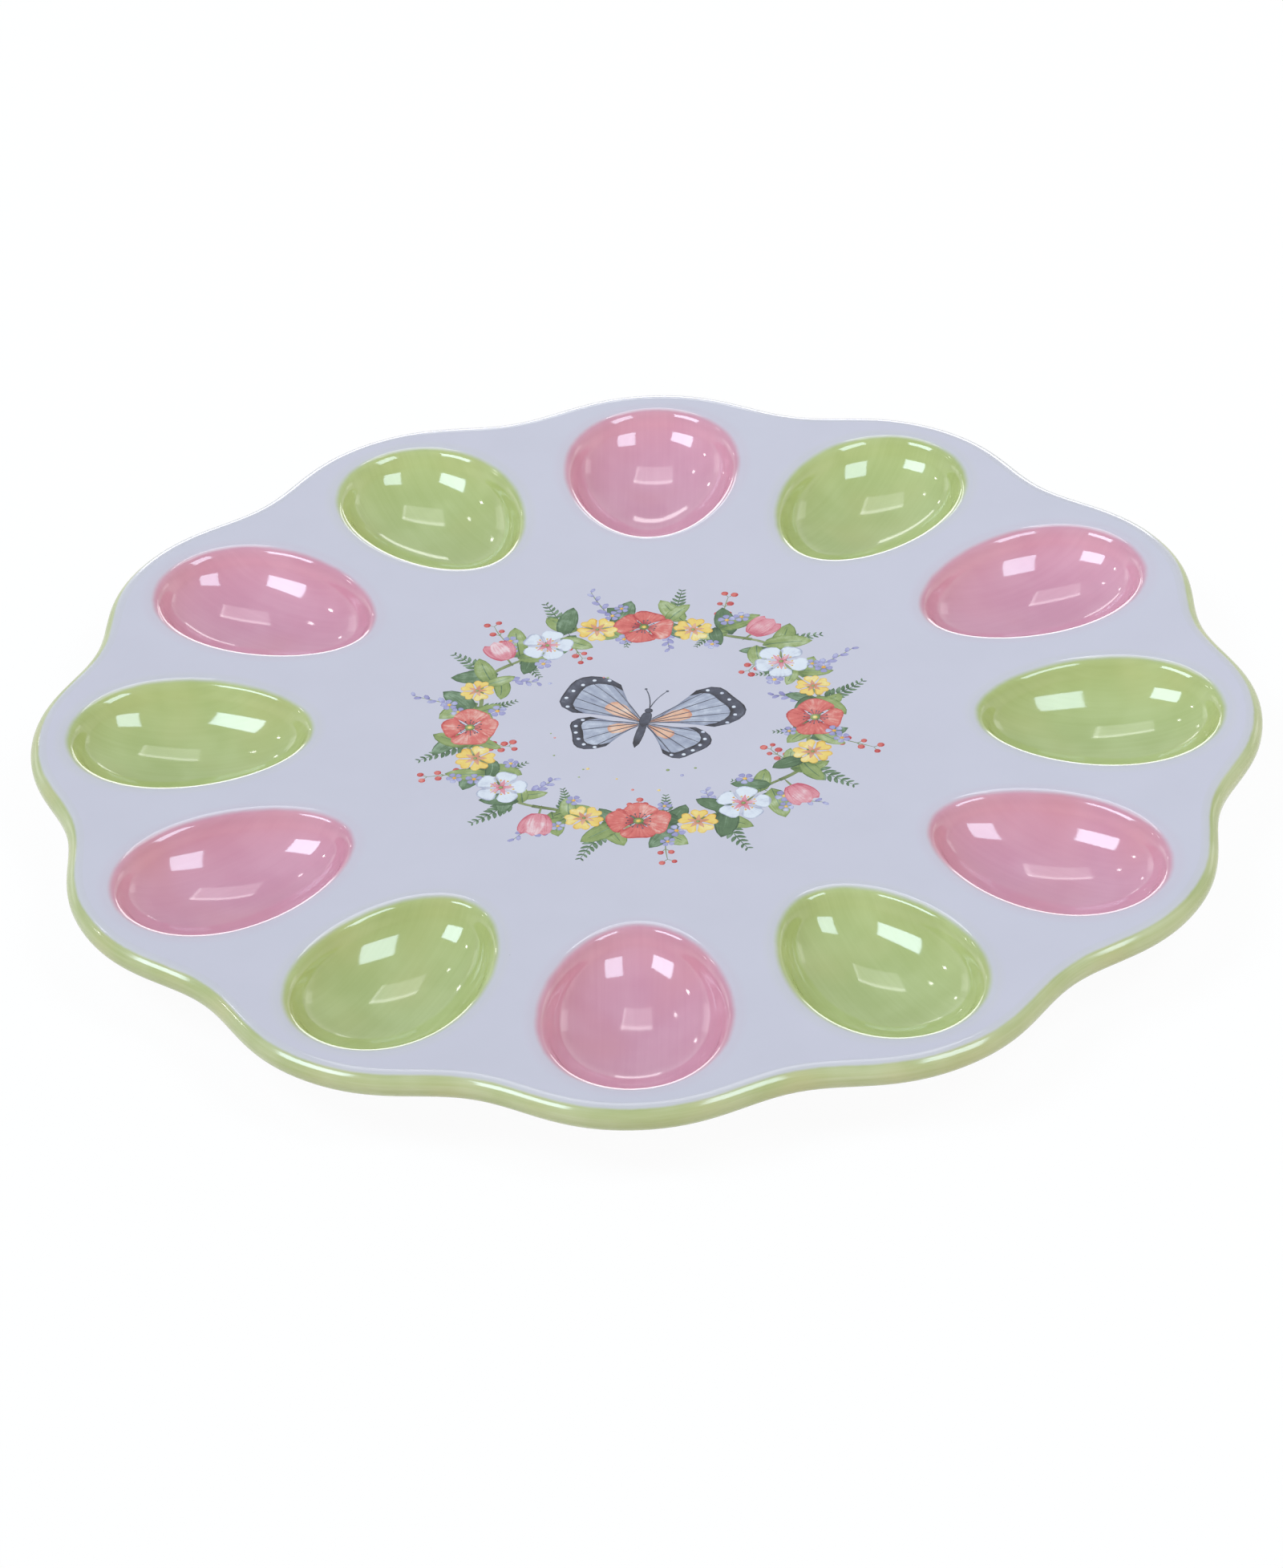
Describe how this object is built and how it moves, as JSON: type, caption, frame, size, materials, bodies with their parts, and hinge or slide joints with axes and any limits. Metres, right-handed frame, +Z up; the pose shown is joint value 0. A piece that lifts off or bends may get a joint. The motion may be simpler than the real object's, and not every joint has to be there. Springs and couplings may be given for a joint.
{
  "type": "egg plate",
  "caption": "Round scalloped ceramic egg plate with a ring of egg-shaped wells glazed in pink and green, a flat white centre with a printed flower design, and a foot ring.",
  "frame": {"origin": "middle of the foot ring's ground face, on the table", "axes": "+Z up, square to the deck; -Y towards the pink well numbered 01; +X to the right seen from there"},
  "size_m": [0.32, 0.32, 0.0211],
  "materials": {
    "bisque_clay": "unglazed, matt",
    "white_glaze": "glossy, pale lavender white",
    "green_glaze": "glossy, brushed pale leaf green",
    "pink_glaze": "glossy, brushed rose pink",
    "transfer_film": "fired print with flowers in watercolour tints"
  },
  "bodies": {
    "root": {"earthenware_body": "bisque_clay", "deck_glaze": "white_glaze", "rim_glaze": "green_glaze", "back_glaze": "white_glaze", "base_glaze": "white_glaze", "pink_well_glaze_01": "pink_glaze", "green_well_glaze_02": "green_glaze", "pink_well_glaze_03": "pink_glaze", "green_well_glaze_04": "green_glaze", "pink_well_glaze_05": "pink_glaze", "green_well_glaze_06": "green_glaze", "pink_well_glaze_07": "pink_glaze", "green_well_glaze_08": "green_glaze", "pink_well_glaze_09": "pink_glaze", "green_well_glaze_10": "green_glaze", "pink_well_glaze_11": "pink_glaze", "green_well_glaze_12": "green_glaze", "printed_transfer": "transfer_film"}
  },
  "joints": []
}
